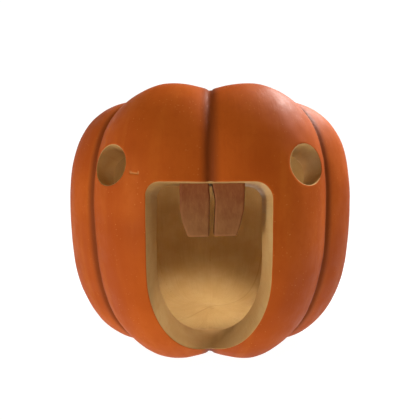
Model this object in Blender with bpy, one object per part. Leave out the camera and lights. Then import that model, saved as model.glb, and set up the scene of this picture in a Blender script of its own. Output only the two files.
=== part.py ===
"""Carved pumpkin lantern: a ribbed, hollow pumpkin with a wide mouth, two teeth and two round eyes.

Metres, +Z up. The face looks along -Y, and the ribs rest on z = 0 with the pumpkin's axis on the Z axis.
"""

import math

import bmesh
import bpy

# Ribbed body
RIBS = 8
RIB_RADIUS = 0.150
GROOVE_SHARE = 0.064  # depth of a groove at the widest height, as a share of the radius
GROOVE_POWER = 1.6  # 1 gives a sharp V between straight flanks, 2 a round trough
GROOVE_SINK = 0.045  # how much lower a groove's crown is than a rib's, as a share of the height
EQUATOR_Z = 0.1237  # height of the widest ring
CROWN_HEIGHT = 0.1269  # widest ring up to the top of a rib
BASE_HEIGHT = 0.1252  # widest ring down to the bottom of a rib, before the rib is flattened at z = 0
CROWN_RING = 0.0632  # radius of the ring on which the ribs are highest
BASE_RING = 0.0639  # radius of the ring on which the ribs are lowest
CROWN_SQUARENESS = 2.61
BASE_SQUARENESS = 2.38
SHOULDER_FLARE = 0.040  # the upper half is this share wider than the lower half
STEM_SEAT_Z = 0.221  # bottom of the hollow round the stem
SCAR_Z = 0.008  # top of the hollow round the blossom scar underneath

# Scooped-out inside
CAVITY_HALF_WIDTH = 0.120
CAVITY_HALF_DEPTH = 0.102
CAVITY_EQUATOR_Z = 0.124
CAVITY_TOP_Z = 0.212
CAVITY_FLOOR_Z = 0.018
CAVITY_TOP_SQUARENESS = 3.4
CAVITY_FLOOR_SQUARENESS = 2.7
CAVITY_RING_SHARE = 0.35  # radius of the ceiling's and the floor's flattest ring, as a share of the width
CAVITY_RIDGE_SHARE = 0.025  # height of the inner ridge behind each groove, as a share of the radius
CEILING_MIDDLE_Z = 0.194
FLOOR_MIDDLE_Z = 0.022

# Mouth: straight sides, rounded upper corners and a half ellipse below, cut straight back
MOUTH_LEFT_X = -0.0452
MOUTH_RIGHT_X = 0.0440
MOUTH_TOP_Z = 0.1556
MOUTH_LEFT_CORNER = 0.009
MOUTH_RIGHT_CORNER = 0.012
MOUTH_BEND_Z = 0.088  # where the straight sides end and the half ellipse begins
MOUTH_BOTTOM_Z = 0.0214

# Teeth: they hang from the mouth's upper edge, with flat fronts set back from the skin
TOOTH_FRONT_Y = -0.132
TOOTH_ROOT = 0.008  # how far a tooth's block reaches up into the flesh
LEFT_TOOTH = ((-0.0233, MOUTH_TOP_Z), (-0.0233, 0.1365), (-0.0209, 0.1255), (-0.0168, 0.1156),
              (-0.0003, 0.1156), (0.0004, 0.1440), (-0.0003, MOUTH_TOP_Z))
RIGHT_TOOTH = ((0.0011, MOUTH_TOP_Z), (0.0037, 0.1440), (0.0023, 0.1161), (0.0201, 0.1161),
               (0.0237, 0.1264), (0.0260, 0.1366), (0.0264, MOUTH_TOP_Z))

# Eyes: round holes bored straight back
EYE_RADIUS = 0.0156
LEFT_EYE_X = -0.0776
RIGHT_EYE_X = 0.0746
EYE_Z = 0.1710

# Cutters reach from in front of the skin to inside the cavity
CUT_FRONT_Y = -0.20
MOUTH_CUT_BACK_Y = -0.050
TOOTH_BACK_Y = -0.075
EYE_CUT_BACK_Y = -0.025

# Stem: a short trimmed stub with ridges, wider where it meets the pumpkin
STEM_RIDGES = 5
STEM_TOP_Z = 0.262
STEM_FOOT_Z = 0.212
STEM_TOP_RADIUS = 0.0150
STEM_FOOT_RADIUS = 0.032
STEM_RIDGE_SHARE = 0.16
STEM_TWIST = math.radians(28)
STEM_LEAN = (0.004, 0.005)  # how far the top stands off the axis, in X and Y
STEM_SLOPE = 0.16  # slope of the trimmed top

# Mesh fineness
BODY_COLUMNS = 12 * RIBS
BODY_RINGS = 24
CAVITY_COLUMNS = 6 * RIBS
CAVITY_RINGS = 18
HOLLOW_RINGS = 4
CORNER_STEPS = 5
JAW_STEPS = 26
EYE_STEPS = 32
STEM_COLUMNS = 4 * STEM_RIDGES
STEM_RINGS = 7
SMOOTH_ANGLE = math.radians(35)


def rounded(value, squareness):
    """A sine or cosine drawn out into a squarer curve: 2 leaves it as it is."""
    return math.copysign(abs(value) ** (2 / squareness), value)


def groove(azimuth):
    """0 along the middle of a rib and 1 along a groove. Azimuth 0 faces -Y, where a groove runs."""
    across = abs((azimuth * RIBS / math.tau) % 1 - 0.5) * 2
    return across**GROOVE_POWER


def on_ring(azimuth, radius, z):
    return (radius * math.sin(azimuth), -radius * math.cos(azimuth), z)


def body_point(azimuth, turn):
    """A point of the skin. Turn is the angle up from the widest ring, 90 degrees at the crown ring."""
    above = turn > 0
    ring = (CROWN_RING if above else BASE_RING) / RIB_RADIUS
    squareness = CROWN_SQUARENESS if above else BASE_SQUARENESS
    out = rounded(math.cos(turn), squareness)
    up = rounded(math.sin(turn), squareness)
    radius = RIB_RADIUS * (ring + (1 - ring) * out) * (1 + SHOULDER_FLARE * up)
    height = (CROWN_HEIGHT if above else BASE_HEIGHT) * up
    cut = groove(azimuth)
    return on_ring(
        azimuth,
        radius * (1 - GROOVE_SHARE * cut),
        EQUATOR_Z + height * (1 - GROOVE_SINK * cut),
    )


def cavity_point(azimuth, turn):
    """A point of the scooped inside, which is wider from side to side than from front to back."""
    above = turn > 0
    squareness = CAVITY_TOP_SQUARENESS if above else CAVITY_FLOOR_SQUARENESS
    out = rounded(math.cos(turn), squareness)
    up = rounded(math.sin(turn), squareness)
    plan = 1 / math.hypot(math.sin(azimuth) / CAVITY_HALF_WIDTH, math.cos(azimuth) / CAVITY_HALF_DEPTH)
    radius = plan * (CAVITY_RING_SHARE + (1 - CAVITY_RING_SHARE) * out)
    height = (CAVITY_TOP_Z - CAVITY_EQUATOR_Z) if above else (CAVITY_EQUATOR_Z - CAVITY_FLOOR_Z)
    return on_ring(
        azimuth,
        radius * (1 - CAVITY_RIDGE_SHARE * groove(azimuth)),
        CAVITY_EQUATOR_Z + height * up,
    )


def towards(rim, middle_z, share):
    """A point of the hollow between a rim point, at share 0, and the axis at height middle_z, at share 1."""
    x, y, z = rim
    ease = (1 - math.cos(math.pi * share)) / 2
    return (x * (1 - share), y * (1 - share), z + (middle_z - z) * ease)


def closed_rings(point, columns, rings, top_z, bottom_z):
    """Rings of points from the top hollow, over the outside, to the bottom hollow."""
    azimuths = [math.tau * column / columns for column in range(columns)]
    shares = [step / (HOLLOW_RINGS + 1) for step in range(HOLLOW_RINGS, 0, -1)]
    made = []
    for share in shares:
        made.append([towards(point(a, math.pi / 2), top_z, share) for a in azimuths])
    for ring in range(rings + 1):
        turn = math.pi * (0.5 - ring / rings)
        made.append([point(a, turn) for a in azimuths])
    for share in reversed(shares):
        made.append([towards(point(a, -math.pi / 2), bottom_z, share) for a in azimuths])
    return made


def add_mesh(name, vertices, faces, material):
    mesh = bpy.data.meshes.new(name)
    mesh.from_pydata(vertices, [], faces)
    mesh.materials.append(material)
    editable = bmesh.new()
    editable.from_mesh(mesh)
    bmesh.ops.recalc_face_normals(editable, faces=editable.faces)
    editable.to_mesh(mesh)
    editable.free()
    obj = bpy.data.objects.new(name, mesh)
    bpy.context.scene.collection.objects.link(obj)
    return obj


def ringed_solid(name, rings, top, bottom, material):
    """A closed skin over rings of equally many points, listed from the top down, with a point at each end."""
    columns = len(rings[0])
    vertices = [point for ring in rings for point in ring] + [top, bottom]
    top_index = len(vertices) - 2
    bottom_index = len(vertices) - 1
    last = (len(rings) - 1) * columns
    faces = []
    for column in range(columns):
        after = (column + 1) % columns
        faces.append((top_index, column, after))
        faces.append((bottom_index, last + after, last + column))
        for start in range(0, last, columns):
            faces.append((start + column, start + columns + column, start + columns + after, start + after))
    return add_mesh(name, vertices, faces, material)


def prism(name, outline, front_y, back_y, material):
    """A closed outline of (x, z) points, carried straight back from front_y to back_y."""
    count = len(outline)
    vertices = [(x, y, z) for y in (front_y, back_y) for x, z in outline]
    faces = [tuple(range(count)), tuple(range(2 * count - 1, count - 1, -1))]
    for index in range(count):
        after = (index + 1) % count
        faces.append((index, count + index, count + after, after))
    return add_mesh(name, vertices, faces, material)


def arc(centre_x, centre_z, radius_x, radius_z, start, end, steps):
    angles = [start + (end - start) * step / steps for step in range(steps + 1)]
    return [(centre_x + radius_x * math.cos(a), centre_z + radius_z * math.sin(a)) for a in angles]


def mouth_outline():
    right, left = MOUTH_RIGHT_CORNER, MOUTH_LEFT_CORNER
    half_width = (MOUTH_RIGHT_X - MOUTH_LEFT_X) / 2
    middle_x = (MOUTH_RIGHT_X + MOUTH_LEFT_X) / 2
    return (
        arc(MOUTH_RIGHT_X - right, MOUTH_TOP_Z - right, right, right, 0, math.pi / 2, CORNER_STEPS)
        + arc(MOUTH_LEFT_X + left, MOUTH_TOP_Z - left, left, left, math.pi / 2, math.pi, CORNER_STEPS)
        + arc(middle_x, MOUTH_BEND_Z, half_width, MOUTH_BEND_Z - MOUTH_BOTTOM_Z, math.pi, math.tau, JAW_STEPS)
    )


def tooth(name, hanging, material):
    """A tooth's block: its outline below the mouth's upper edge, and a root that reaches into the flesh."""
    first_x, last_x = hanging[0][0], hanging[-1][0]
    root = [(last_x, MOUTH_TOP_Z + TOOTH_ROOT), (first_x, MOUTH_TOP_Z + TOOTH_ROOT)]
    return prism(name, list(hanging) + root, TOOTH_FRONT_Y, TOOTH_BACK_Y, material)


def eye_cutter(name, centre_x, material):
    outline = arc(centre_x, EYE_Z, EYE_RADIUS, EYE_RADIUS, 0, math.tau, EYE_STEPS)[:-1]
    return prism(name, outline, CUT_FRONT_Y, EYE_CUT_BACK_Y, material)


def body(material):
    rings = closed_rings(body_point, BODY_COLUMNS, BODY_RINGS, STEM_SEAT_Z, SCAR_Z)
    # The ribs are flattened where they rest.
    resting = [[(x, y, max(z, 0)) for x, y, z in ring] for ring in rings]
    return ringed_solid("pumpkin", resting, (0, 0, STEM_SEAT_Z), (0, 0, SCAR_Z), material)


def cavity(material):
    rings = closed_rings(cavity_point, CAVITY_COLUMNS, CAVITY_RINGS, CEILING_MIDDLE_Z, FLOOR_MIDDLE_Z)
    return ringed_solid("cavity", rings, (0, 0, CEILING_MIDDLE_Z), (0, 0, FLOOR_MIDDLE_Z), material)


def stem(material):
    """A ridged, slightly twisted stub that leans a little and is trimmed at a slope."""
    rings = []
    for level in range(STEM_RINGS):
        share = 1 - level / (STEM_RINGS - 1)
        flare = (1 - share) ** 2.2
        mean = STEM_TOP_RADIUS + (STEM_FOOT_RADIUS - STEM_TOP_RADIUS) * flare
        ring = []
        for column in range(STEM_COLUMNS):
            azimuth = math.tau * column / STEM_COLUMNS
            ridge = math.cos(STEM_RIDGES * azimuth)
            radius = mean * (1 + STEM_RIDGE_SHARE * ridge)
            x, y, _ = on_ring(azimuth + STEM_TWIST * share, radius, 0)
            slope = STEM_SLOPE * x * share
            z = STEM_FOOT_Z + (STEM_TOP_Z - STEM_FOOT_Z) * share + slope
            ring.append((x + STEM_LEAN[0] * share**2, y + STEM_LEAN[1] * share**2, z))
        rings.append(ring)
    top = (STEM_LEAN[0], STEM_LEAN[1], STEM_TOP_Z)
    return ringed_solid("stem", rings, top, (0, 0, STEM_FOOT_Z), material)


def combine(target, other, operation):
    """Joins or cuts with another solid, which keeps its material on the faces that it leaves."""
    step = target.modifiers.new(f"{operation.lower()} {other.name}", "BOOLEAN")
    step.operation = operation
    step.material_mode = "TRANSFER"
    step.object = other
    other.hide_render = True
    other.display_type = "WIRE"


def settle(target, helpers):
    """Turns the object and its modifiers into one plain mesh, smooth except along the carved edges."""
    graph = bpy.context.evaluated_depsgraph_get()
    finished = bpy.data.meshes.new_from_object(target.evaluated_get(graph))
    finished.shade_smooth()
    finished.set_sharp_from_angle(angle=SMOOTH_ANGLE)
    target.modifiers.clear()
    target.data = finished
    for helper in helpers:
        bpy.data.objects.remove(helper)


def surface_material(name, colour, roughness):
    material = bpy.data.materials.new(name)
    material.use_nodes = True
    shader = material.node_tree.nodes["Principled BSDF"]
    shader.inputs["Base Color"].default_value = (*colour, 1)
    shader.inputs["Roughness"].default_value = roughness
    shader.inputs["Metallic"].default_value = 0
    material.diffuse_color = (*colour, 1)
    return material


def main():
    for obj in list(bpy.data.objects):
        bpy.data.objects.remove(obj)
    skin = surface_material("pumpkin_skin", (0.56, 0.13, 0.022), 0.42)
    flesh = surface_material("carved_flesh", (0.52, 0.30, 0.11), 0.60)
    tooth_flesh = surface_material("tooth_flesh", (0.30, 0.10, 0.045), 0.60)
    bark = surface_material("stem_bark", (0.20, 0.14, 0.055), 0.80)

    pumpkin = body(skin)
    mouth = prism("mouth", mouth_outline(), CUT_FRONT_Y, MOUTH_CUT_BACK_Y, flesh)
    left_tooth = tooth("left_tooth", LEFT_TOOTH, tooth_flesh)
    right_tooth = tooth("right_tooth", RIGHT_TOOTH, tooth_flesh)
    inside = cavity(flesh)
    left_eye = eye_cutter("left_eye", LEFT_EYE_X, flesh)
    right_eye = eye_cutter("right_eye", RIGHT_EYE_X, flesh)
    stub = stem(bark)

    combine(pumpkin, mouth, "DIFFERENCE")
    combine(pumpkin, left_tooth, "UNION")
    combine(pumpkin, right_tooth, "UNION")
    combine(pumpkin, inside, "DIFFERENCE")
    combine(pumpkin, left_eye, "DIFFERENCE")
    combine(pumpkin, right_eye, "DIFFERENCE")
    combine(pumpkin, stub, "UNION")
    settle(pumpkin, [mouth, left_tooth, right_tooth, inside, left_eye, right_eye, stub])


main()
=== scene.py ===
"""Looks of the carved pumpkin lantern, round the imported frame. In metres, +Z up, the face towards -Y."""

import math

import bmesh
import bpy
import numpy as np
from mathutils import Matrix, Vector


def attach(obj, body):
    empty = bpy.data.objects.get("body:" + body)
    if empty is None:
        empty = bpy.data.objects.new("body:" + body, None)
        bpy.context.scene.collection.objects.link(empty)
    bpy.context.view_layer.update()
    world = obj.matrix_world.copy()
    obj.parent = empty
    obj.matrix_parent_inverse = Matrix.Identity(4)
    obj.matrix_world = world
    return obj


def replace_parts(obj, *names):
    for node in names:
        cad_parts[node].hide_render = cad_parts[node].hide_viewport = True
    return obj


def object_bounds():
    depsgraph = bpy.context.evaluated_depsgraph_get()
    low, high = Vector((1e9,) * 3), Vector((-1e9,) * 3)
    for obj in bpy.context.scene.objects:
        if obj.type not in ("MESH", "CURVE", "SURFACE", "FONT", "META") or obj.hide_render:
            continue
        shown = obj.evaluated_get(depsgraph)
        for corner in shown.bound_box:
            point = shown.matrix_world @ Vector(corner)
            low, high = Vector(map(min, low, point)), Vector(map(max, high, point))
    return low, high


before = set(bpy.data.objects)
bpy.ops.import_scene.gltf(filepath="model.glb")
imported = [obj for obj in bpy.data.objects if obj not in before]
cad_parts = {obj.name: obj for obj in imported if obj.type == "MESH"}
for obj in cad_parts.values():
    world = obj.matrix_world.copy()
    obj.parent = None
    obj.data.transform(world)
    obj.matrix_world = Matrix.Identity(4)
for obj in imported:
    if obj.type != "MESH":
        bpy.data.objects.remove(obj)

cad_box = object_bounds()
MM = 0.001
TINY = 1e-9  # keeps divisions by a length near 0 safe

# Ribbed body, as in the solid
RIBS = 8
RIB_RADIUS = 0.150
GROOVE_SHARE = 0.064
GROOVE_POWER = 1.6
GROOVE_SINK = 0.045
GROOVE_ROUNDING = 0.022  # as a share of half a rib's width
EQUATOR_Z = 0.1237
CROWN_HEIGHT = 0.1269
BASE_HEIGHT = 0.1252
CROWN_RING = 0.0632
BASE_RING = 0.0639
CROWN_SQUARENESS = 2.61
BASE_SQUARENESS = 2.38
SHOULDER_FLARE = 0.040
STEM_SEAT_Z = 0.221
SCAR_Z = 0.008

# Scooped-out inside
CAVITY_HALF_WIDTH = 0.120
CAVITY_HALF_DEPTH = 0.102
CAVITY_EQUATOR_Z = 0.124
CAVITY_TOP_Z = 0.212
CAVITY_FLOOR_Z = 0.018
CAVITY_TOP_SQUARENESS = 3.4
CAVITY_FLOOR_SQUARENESS = 2.7
CAVITY_RING_SHARE = 0.35
CAVITY_RIDGE_SHARE = 0.025
CEILING_MIDDLE_Z = 0.194
FLOOR_MIDDLE_Z = 0.022

# Mouth, teeth and eyes
MOUTH_LEFT_X = -0.0452
MOUTH_RIGHT_X = 0.0440
MOUTH_TOP_Z = 0.1556
MOUTH_LEFT_CORNER = 0.009
MOUTH_RIGHT_CORNER = 0.012
MOUTH_BEND_Z = 0.088
MOUTH_BOTTOM_Z = 0.0214
MOUTH_CUT_BACK_Y = -0.050
TOOTH_FRONT_Y = -0.132
TOOTH_ROOT = 0.008  # how far a tooth is rooted in the shell above the mouth
LEFT_TOOTH = ((-0.0233, MOUTH_TOP_Z), (-0.0233, 0.1365), (-0.0209, 0.1255), (-0.0168, 0.1156),
              (-0.0003, 0.1156), (0.0004, 0.1440), (-0.0003, MOUTH_TOP_Z))
RIGHT_TOOTH = ((0.0011, MOUTH_TOP_Z), (0.0037, 0.1440), (0.0023, 0.1161), (0.0201, 0.1161),
               (0.0237, 0.1264), (0.0260, 0.1366), (0.0264, MOUTH_TOP_Z))
EYE_RADIUS = 0.0156
LEFT_EYE_X = -0.0776
RIGHT_EYE_X = 0.0746
EYE_Z = 0.1710
EYE_CUT_BACK_Y = -0.025

# Stem
STEM_RIDGES = 5
STEM_TOP_Z = 0.262
STEM_FOOT_Z = 0.212
STEM_TOP_RADIUS = 0.0150
STEM_FOOT_RADIUS = 0.032
STEM_FLARE_POWER = 2.2  # how quickly the stem widens towards its foot
STEM_RIDGE_SHARE = 0.16
STEM_RIDGE_WAVE = 0.86
STEM_FINE_WAVE = 0.105  # waves half as wide that run along the ridges
STEM_TWIST = math.radians(28)
STEM_LEAN = (0.004, 0.005)  # how far the top stands off the axis, in X and Y
STEM_SLOPE = 0.16  # slope of the trimmed top
# Rings of the trimmed top, as shares of its rim with how many millimetres each is sunk
STEM_TOP_RINGS = ((0.97, 0.0), (0.9, 0.3), (0.7, 0.8), (0.5, 1.1), (0.3, 1.9), (0.15, 2.4), (0.05, 2.5))

# Softened edges of the carving
LIP_EDGE = 1.8 * MM
INNER_EDGE = 3.5 * MM
TOOTH_EDGE = 2.2 * MM
TOOTH_CORNER = 2.0 * MM

# Relief, all of it cut inwards
CREASE_DEPTH = 1.3 * MM
CREASE_WIDTH = 2.0 * MM
CREASE_CHANGE = 18 * MM  # how far apart its deep and shallow stretches lie
FURROW_DEPTH = 0.18 * MM
FURROW_SIZE = 9.0 * MM
LUMP_DEPTH = 0.9 * MM
LUMP_SIZE = 34.0 * MM
DIMPLE_DEPTH = 0.35 * MM
DIMPLE_SIZE = 9.0 * MM
STROKE_DEPTH = 0.5 * MM  # knife strokes along the cut walls
STROKE_SIZE = 5.0 * MM
STROKE_STRETCH = 0.07  # the smaller, the longer the strokes are from front to back
FACET_SIZE = 15.0 * MM  # flats that the knife leaves between its strokes
FACET_STRETCH = 0.3
SCRAPE_DEPTH = 0.9 * MM  # spoon strokes on the inside
SCRAPE_SIZE = 11.0 * MM
SCRAPE_STRETCH = 0.3
STRING_SHARE = 0.35  # strings of flesh between the spoon strokes
RIB_STRETCH = 0.14  # for what runs along the ribs
WRINKLE_DEPTH = 0.7 * MM  # wrinkles that run out from the stem
WRINKLE_SIZE = 5.5 * MM
WRINKLE_STRETCH = 0.12  # the smaller, the longer the wrinkles are
SCAR_DEPTH = 1.1 * MM  # corky scar of the blossom, in the hollow underneath
SCAR_RADIUS = 15.0 * MM
SCAR_GRAIN = 3.0 * MM
SCAR_RIM = 3.0 * MM  # width over which the scar ends
SCAR_RIM_SIZE = 6.0 * MM  # size of the bays in its rim
FOOT_HEIGHT = 3.0 * MM  # below this the ribs' flattened undersides are still skin
RUBBED_FROM = 1.2 * MM  # below this height the skin starts to be rubbed, and lower down it is rubbed fully
RUBBED_FULL = 0.1 * MM
REST_GAP = 0.2 * MM  # there is no relief this near the ground
REST_FADE = 4.0 * MM  # and it is full from this height up
TOOTH_PIT_DEPTH = 0.15 * MM
TOOTH_PIT_SIZE = 3.0 * MM
TOOTH_WAVE_DEPTH = 0.6 * MM
TOOTH_WAVE_SIZE = 11.0 * MM
BARK_LINE_DEPTH = 0.45 * MM  # lines along the bark, and larger lumps
BARK_LINE_SIZE = 2.6 * MM
BARK_LINE_STRETCH = 0.12
BARK_LUMP_DEPTH = 0.6 * MM
BARK_LUMP_SIZE = 7.0 * MM
TOP_LUMP_SHARE = 0.5  # how much of the bark's relief the trimmed top has

# Nick in the skin beside the left eye: a stroke with a short tick at its right end, as (x, z)
NICK = ((-0.0578, 0.1630), (-0.0517, 0.1623), (-0.0517, 0.1634))
NICK_DEPTH = 0.6 * MM
NICK_WIDTH = 0.65 * MM
NICK_BACK_Y = -0.125  # the nick is only in front of this
NICK_LAYER = 2.0 * MM  # and only this near the skin

# Mesh fineness
SHELL_STEP = 3.6 * MM
TOOTH_STEP = 1.0 * MM
NET_MARGIN = 2.0 * MM
TOOTH_NET_BACK_Y = -0.080  # inside the hollow, behind both teeth
LIP_REACHES = (1.75 * MM, 0.7 * MM)  # how near a lip of the carving the mesh is made finer, and finest
NICK_REACHES = (6.0 * MM, 4.0 * MM, 2.5 * MM)
SNAP_REACH = 4.5 * MM
GROOVE_REACH = 3.2 * MM
CROWN_REACH = 48.0 * MM
FAR_OUTSIDE = 8.0 * MM
SLOPE_REACH = 0.05 * MM
LONGEST_SETTLING = 2.0 * MM
CUT_STEPS = 6
ARC_STEPS = 12
CORNER_STEPS = 5
JAW_STEPS = 60
HOLLOW_SAMPLES = 40
PROFILE_SAMPLES = 721
ACROSS_SAMPLES = 129
ELEVATION_SAMPLES = 1441
NET_PARTS = 40  # the net's grid is worked out in so many parts, to spare memory
STEM_COLUMNS = 140
STEM_RINGS = 48

# Whole-number hash behind the noise
HASH_STEPS = (73856093, 19349663, 83492791, 2654435761)
HASH_MIXERS = ((15, 2246822519), (13, 3266489917))
HASH_LAST_SHIFT = 16
HASH_TOP = 0xFFFFFFFF
SEED_SHIFT = 17.3  # in cells

# The camera's place and view
CAMERA_DISTANCE = 0.3542
CAMERA_HEIGHT = 0.1362
CAMERA_VIEW_ANGLE = math.radians(70)
CAMERA_SENSOR_MM = 36


# Forms of the body and the inside

def rounded(value, squareness):
    return np.sign(value) * np.abs(value) ** (2 / squareness)


def across_rib(azimuth):
    """0 along the middle of a rib, 1 along a groove."""
    return np.abs((azimuth * RIBS / math.tau) % 1 - 0.5) * 2


def azimuth_of(x, y):
    """Azimuth 0 faces -Y, where a groove runs."""
    return np.arctan2(x, -y)


def with_hollows(radius, height, top_z, bottom_z):
    """A profile from the lower to the upper ring, carried on to the axis through both hollows."""
    share = np.linspace(0, 1, HOLLOW_SAMPLES)[1:]
    ease = (1 - np.cos(math.pi * share)) / 2
    below = (radius[0] * (1 - share), height[0] + (bottom_z - height[0]) * ease)
    above = (radius[-1] * (1 - share), height[-1] + (top_z - height[-1]) * ease)
    return (
        np.concatenate([below[0][::-1], radius, above[0]]),
        np.concatenate([below[1][::-1], height, above[1]]),
    )


def polar(radius, height, centre_z):
    """Distance from a centre on the axis to a profile, at even steps of elevation."""
    elevation = np.arctan2(height - centre_z, radius)
    even = np.linspace(-math.pi / 2, math.pi / 2, ELEVATION_SAMPLES)
    return np.interp(even, elevation, np.hypot(radius, height - centre_z))


TURNS = np.linspace(-math.pi / 2, math.pi / 2, PROFILE_SAMPLES)


def body_distances():
    """Rows of polar distances of the skin, from the middle of a rib to a groove."""
    above = TURNS > 0
    ring = np.where(above, CROWN_RING, BASE_RING) / RIB_RADIUS
    squareness = np.where(above, CROWN_SQUARENESS, BASE_SQUARENESS)
    out = rounded(np.cos(TURNS), squareness)
    up = rounded(np.sin(TURNS), squareness)
    radius = RIB_RADIUS * (ring + (1 - ring) * out) * (1 + SHOULDER_FLARE * up)
    height = np.where(above, CROWN_HEIGHT, BASE_HEIGHT) * up
    rows = []
    for cut in np.linspace(0, 1, ACROSS_SAMPLES) ** GROOVE_POWER:
        profile = with_hollows(
            radius * (1 - GROOVE_SHARE * cut),
            EQUATOR_Z + height * (1 - GROOVE_SINK * cut),
            STEM_SEAT_Z,
            SCAR_Z,
        )
        rows.append(polar(*profile, EQUATOR_Z))
    return np.array(rows)


def cavity_distances():
    """Polar distances of the inside, as if it were round. Its oval plan is put in with the field."""
    above = TURNS > 0
    squareness = np.where(above, CAVITY_TOP_SQUARENESS, CAVITY_FLOOR_SQUARENESS)
    out = rounded(np.cos(TURNS), squareness)
    up = rounded(np.sin(TURNS), squareness)
    radius = CAVITY_HALF_WIDTH * (CAVITY_RING_SHARE + (1 - CAVITY_RING_SHARE) * out)
    rise = np.where(above, CAVITY_TOP_Z - CAVITY_EQUATOR_Z, CAVITY_EQUATOR_Z - CAVITY_FLOOR_Z)
    profile = with_hollows(radius, CAVITY_EQUATOR_Z + rise * up, CEILING_MIDDLE_Z, FLOOR_MIDDLE_Z)
    return polar(*profile, CAVITY_EQUATOR_Z)[None, :]


def steepness(table):
    """How much nearer the surface is than its distance along the line from the centre."""
    step = math.pi / (ELEVATION_SAMPLES - 1)
    return 1 / np.hypot(1, np.gradient(table, step, axis=1) / table)


BODY = body_distances()
BODY_STEEPNESS = steepness(BODY)
CAVITY = cavity_distances()
CAVITY_STEEPNESS = steepness(CAVITY)


def look_up(table, across, elevation):
    """The table's value between its samples."""
    rows, columns = table.shape
    row = np.clip(across, 0, 1) * (rows - 1)
    column = (elevation / math.pi + 0.5) * (columns - 1)
    row_low = np.clip(row.astype(int), 0, max(rows - 2, 0))
    column_low = np.clip(column.astype(int), 0, columns - 2)
    row_high = np.minimum(row_low + 1, rows - 1)
    u = row - row_low
    v = column - column_low
    low = table[row_low, column_low] * (1 - v) + table[row_low, column_low + 1] * v
    high = table[row_high, column_low] * (1 - v) + table[row_high, column_low + 1] * v
    return low * (1 - u) + high * u


# Fields: about the distance in metres to a form, negative inside it

def skin_field(p):
    x, y, z = p.T
    radius = np.hypot(x, y)
    across = 1 - np.hypot(1 - across_rib(azimuth_of(x, y)), GROOVE_ROUNDING)
    elevation = np.arctan2(z - EQUATOR_Z, radius)
    gap = np.hypot(radius, z - EQUATOR_Z) - look_up(BODY, across, elevation)
    return gap * look_up(BODY_STEEPNESS, across, elevation)


def cavity_field(p):
    x, y, z = p.T
    azimuth = azimuth_of(x, y)
    plan = 1 / np.hypot(np.sin(azimuth) / CAVITY_HALF_WIDTH, np.cos(azimuth) / CAVITY_HALF_DEPTH)
    plan = plan * (1 - CAVITY_RIDGE_SHARE * across_rib(azimuth) ** GROOVE_POWER)
    radius = np.hypot(x, y) * CAVITY_HALF_WIDTH / plan
    elevation = np.arctan2(z - CAVITY_EQUATOR_Z, radius)
    level = np.zeros_like(radius)
    gap = np.hypot(radius, z - CAVITY_EQUATOR_Z) - look_up(CAVITY, level, elevation)
    return gap * look_up(CAVITY_STEEPNESS, level, elevation)


def outline_field(x, z, outline):
    """Signed distance in the XZ plane to a closed outline, and far outside it to the outline's box."""
    corners = np.array(outline)
    (left, low), (right, high) = corners.min(axis=0), corners.max(axis=0)
    apart = np.hypot(
        np.maximum(np.maximum(left - x, x - right), 0),
        np.maximum(np.maximum(low - z, z - high), 0),
    )
    close = apart < FAR_OUTSIDE
    apart[close] = exact_outline_field(x[close], z[close], outline)
    return apart


def segment_distance(x, z, start, end):
    (ax, az), (bx, bz) = start, end
    ex, ez = bx - ax, bz - az
    share = np.clip(((x - ax) * ex + (z - az) * ez) / (ex * ex + ez * ez), 0, 1)
    return np.hypot(x - ax - share * ex, z - az - share * ez)


def exact_outline_field(x, z, outline):
    nearest = np.full(x.shape, np.inf)
    inside = np.zeros(x.shape, bool)
    for start, end in zip(outline, outline[1:] + outline[:1]):
        nearest = np.minimum(nearest, segment_distance(x, z, start, end))
        (ax, az), (bx, bz) = start, end
        if az != bz:
            crossing_x = ax + (z - az) * (bx - ax) / (bz - az)
            inside ^= ((az > z) != (bz > z)) & (x < crossing_x)
    return np.where(inside, -nearest, nearest)


def larger(a, b, edge):
    """The larger of two fields, rounded off over this width where they are alike."""
    near = np.clip(edge - np.abs(a - b), 0, None)
    return np.maximum(a, b) + near * near / (4 * edge)


def arc(centre_x, centre_z, radius_x, radius_z, start, end, steps):
    angles = [start + (end - start) * step / steps for step in range(steps + 1)]
    return [(centre_x + radius_x * math.cos(a), centre_z + radius_z * math.sin(a)) for a in angles]


def mouth_outline():
    """A straight top with two round corners, straight sides, and half an ellipse below their bend."""
    right, left = MOUTH_RIGHT_CORNER, MOUTH_LEFT_CORNER
    half_width = (MOUTH_RIGHT_X - MOUTH_LEFT_X) / 2
    middle_x = (MOUTH_RIGHT_X + MOUTH_LEFT_X) / 2
    jaw_height = MOUTH_BEND_Z - MOUTH_BOTTOM_Z
    return (
        arc(MOUTH_RIGHT_X - right, MOUTH_TOP_Z - right, right, right, 0, math.pi / 2, ARC_STEPS)
        + arc(MOUTH_LEFT_X + left, MOUTH_TOP_Z - left, left, left, math.pi / 2, math.pi, ARC_STEPS)
        + arc(middle_x, MOUTH_BEND_Z, half_width, jaw_height, math.pi, math.tau, JAW_STEPS)
    )


def with_round_corners(outline, radius):
    """The outline with each corner drawn as a short curve."""
    made = []
    for before, corner, after in zip(outline[-1:] + outline[:-1], outline, outline[1:] + outline[:1]):
        corner = Vector(corner)
        start = corner + (Vector(before) - corner).normalized() * radius
        end = corner + (Vector(after) - corner).normalized() * radius
        for step in range(CORNER_STEPS + 1):
            s = step / CORNER_STEPS
            made.append(tuple(start * (1 - s) ** 2 + corner * 2 * s * (1 - s) + end * s * s))
    return made


MOUTH = mouth_outline()


def openings_field(p):
    """The mouth and both eyes, cut straight back into the inside."""
    x, y, z = p.T
    mouth = np.maximum(outline_field(x, z, MOUTH), y - MOUTH_CUT_BACK_Y)
    left = np.hypot(x - LEFT_EYE_X, z - EYE_Z) - EYE_RADIUS
    right = np.hypot(x - RIGHT_EYE_X, z - EYE_Z) - EYE_RADIUS
    eyes = np.maximum(np.minimum(left, right), y - EYE_CUT_BACK_Y)
    return np.minimum(mouth, eyes)


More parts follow.
